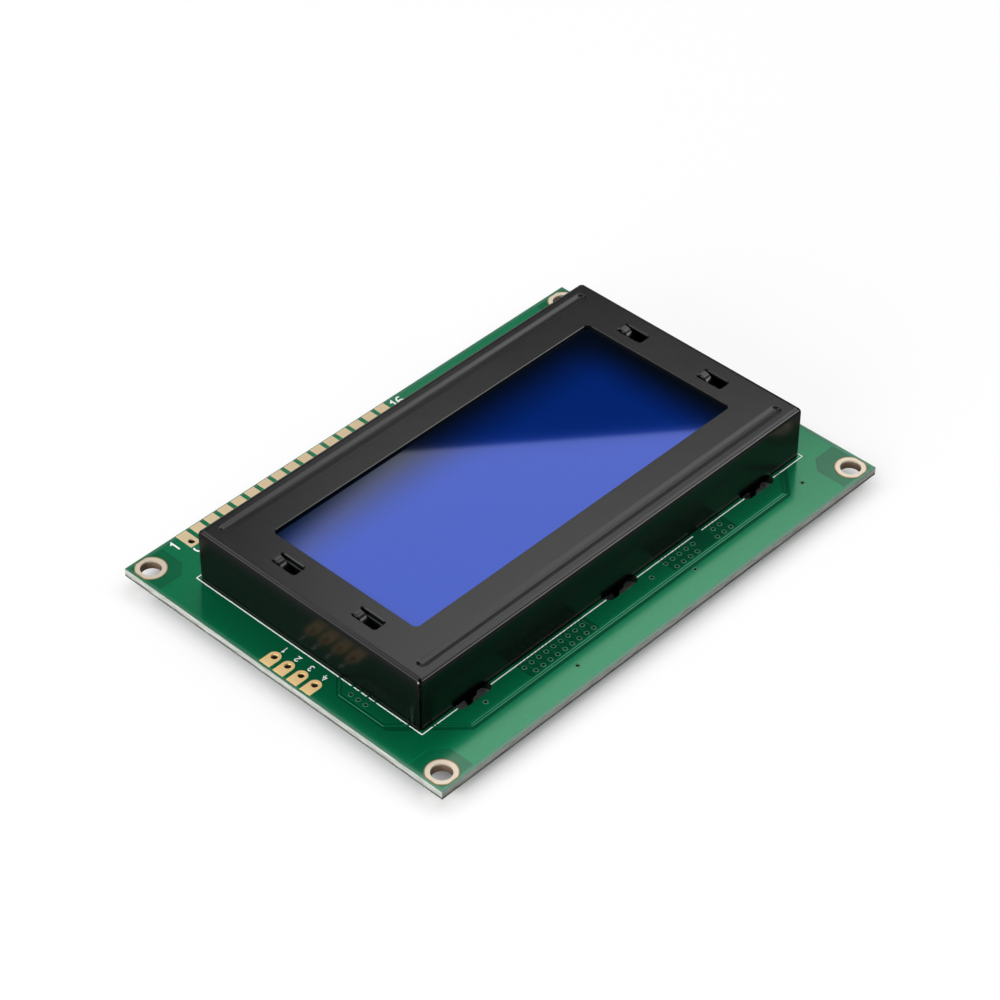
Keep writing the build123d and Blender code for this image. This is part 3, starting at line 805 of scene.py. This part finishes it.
# Studio: a white floor in an even white room, and seven soft lamps. The rear softbox is the
# one whose reflection lies across the display. The low card lights the board's left edge,
# and the others draw the highlights along the bezel's bends.
camera_azimuth = math.radians(-46.63)
camera_elevation = math.radians(41.19)
camera_distance = 0.4408
camera_roll = math.radians(0.353)
camera_aim = Vector((0.00189, 0.00319, board_top))
camera_lens = 114.49
camera_sensor = 36.0
back = Vector((
    math.sin(camera_azimuth) * math.cos(camera_elevation),
    -math.cos(camera_azimuth) * math.cos(camera_elevation),
    math.sin(camera_elevation),
))
camera = bpy.data.objects.new("camera", bpy.data.cameras.new("camera"))
bpy.context.scene.collection.objects.link(camera)
camera.data.lens = camera_lens
camera.data.sensor_width = camera_sensor
camera.data.clip_start = 0.01
camera.location = camera_aim + back * camera_distance
camera.rotation_mode = "QUATERNION"
camera.rotation_quaternion = (-back).to_track_quat("-Z", "Y") @ Quaternion((0, 0, 1), camera_roll)
bpy.context.scene.camera = camera

floor_reach = 3.0
floor_corners = [(-floor_reach, -floor_reach, 0), (floor_reach, -floor_reach, 0),
                 (floor_reach, floor_reach, 0), (-floor_reach, floor_reach, 0)]
floor_mesh = bpy.data.meshes.new("floor")
floor_mesh.from_pydata(floor_corners, [], [(0, 1, 2, 3)])
floor = bpy.data.objects.new("floor", floor_mesh)
bpy.context.scene.collection.objects.link(floor)
floor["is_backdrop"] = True

# The camera sees white paper that takes the object's shadow and glows further out. Other
# rays find a darker table, with a little of the paper where a surface mirrors it.
paper_fade = (-2.0, 5.0)
paper_glow = 0.85
paper_mirrored = 0.1
floor_paint = bpy.data.materials.new("white_floor")
floor_paint.use_nodes = True
floor_paint.node_tree.nodes.clear()
tree = Field(floor_paint.node_tree)
x, y, z = tree.spot()
outside = (abs(x) - half_length).most(abs(y) - half_width)
paper = tree.node("ShaderNodeBsdfDiffuse", {"Color": (0.92, 0.92, 0.92, 1)})
glow = tree.node("ShaderNodeEmission", {"Color": (1, 1, 1, 1), "Strength": 1.0})
table = tree.node("ShaderNodeBsdfDiffuse", {"Color": (0.18, 0.18, 0.18, 1)})
lit = outside.ramp(*paper_fade) * paper_glow
paper = tree.node("ShaderNodeMixShader", {0: lit, 1: paper, 2: glow})
seen = tree.node("ShaderNodeLightPath", output=0)
mirrored = tree.node("ShaderNodeLightPath", output=3)
share = seen.most(mirrored * paper_mirrored)
surface = tree.node("ShaderNodeMixShader", {0: share, 1: table, 2: paper})
tree.node("ShaderNodeOutputMaterial", {"Surface": surface})
floor_mesh.materials.append(floor_paint)

# The camera sees the room white, matt faces get less than half of that light, and what
# mirrors it hardly any
room_light = 0.45
room_sheen = 0.02
world = bpy.data.worlds.new("white_room")
bpy.context.scene.world = world
world.use_nodes = True
world.node_tree.nodes.clear()
tree = Field(world.node_tree)
seen = tree.node("ShaderNodeLightPath", output=0)
mirrored = tree.node("ShaderNodeLightPath", output=3)
strength = seen + (1 - seen) * (mirrored * (room_sheen - room_light) + room_light)
backdrop = tree.node("ShaderNodeBackground", {"Color": (1, 1, 1, 1), "Strength": strength})
tree.node("ShaderNodeOutputWorld", {"Surface": backdrop})


def soft_lamp(name, azimuth, elevation, distance, size, radiance, roll=0.0):
    """A lamp that faces the object from the direction given, in degrees and metres: round, or a
    rectangle turned by roll. Its energy is the radiance times pi and its area."""
    lamp = bpy.data.objects.new(name, bpy.data.lights.new(name, "AREA"))
    bpy.context.scene.collection.objects.link(lamp)
    azimuth = math.radians(azimuth)
    elevation = math.radians(elevation)
    away = Vector((
        math.cos(azimuth) * math.cos(elevation),
        math.sin(azimuth) * math.cos(elevation),
        math.sin(elevation),
    ))
    turn = Quaternion((0, 0, 1), math.radians(roll))
    lamp.location = away * distance
    lamp.rotation_mode = "QUATERNION"
    lamp.rotation_quaternion = away.to_track_quat("Z", "Y") @ turn
    lamp.data.size = size[0]
    area = math.pi / 4 * size[0] ** 2
    if len(size) > 1:
        lamp.data.shape = "RECTANGLE"
        lamp.data.size_y = size[1]
        area = size[0] * size[1]
    else:
        lamp.data.shape = "DISK"
    lamp.data.energy = radiance * math.pi * area


lamp_distance = 5.0
card_distance = 1.2
soft_lamp("rear_softbox", 29.0, 51.0, lamp_distance, (2.3, 2.16), 1.75, 14.06)
soft_lamp("rear_card", 52.0, 8.0, lamp_distance, (4.0, 1.4), 0.6)
soft_lamp("right_softbox", -13.0, 51.0, lamp_distance, (2.0,), 2.55)
soft_lamp("right_card", -47.0, 27.0, lamp_distance, (1.9,), 4.2)
soft_lamp("left_softbox", 95.0, 53.0, lamp_distance, (3.3, 1.4), 1.4)
soft_lamp("left_card", 141.0, 30.0, lamp_distance, (1.6,), 2.2)
soft_lamp("low_card", 184.0, 17.0, card_distance, (0.8, 0.7), 11.0)
bpy.context.scene.view_settings.view_transform = "Standard"

low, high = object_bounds()
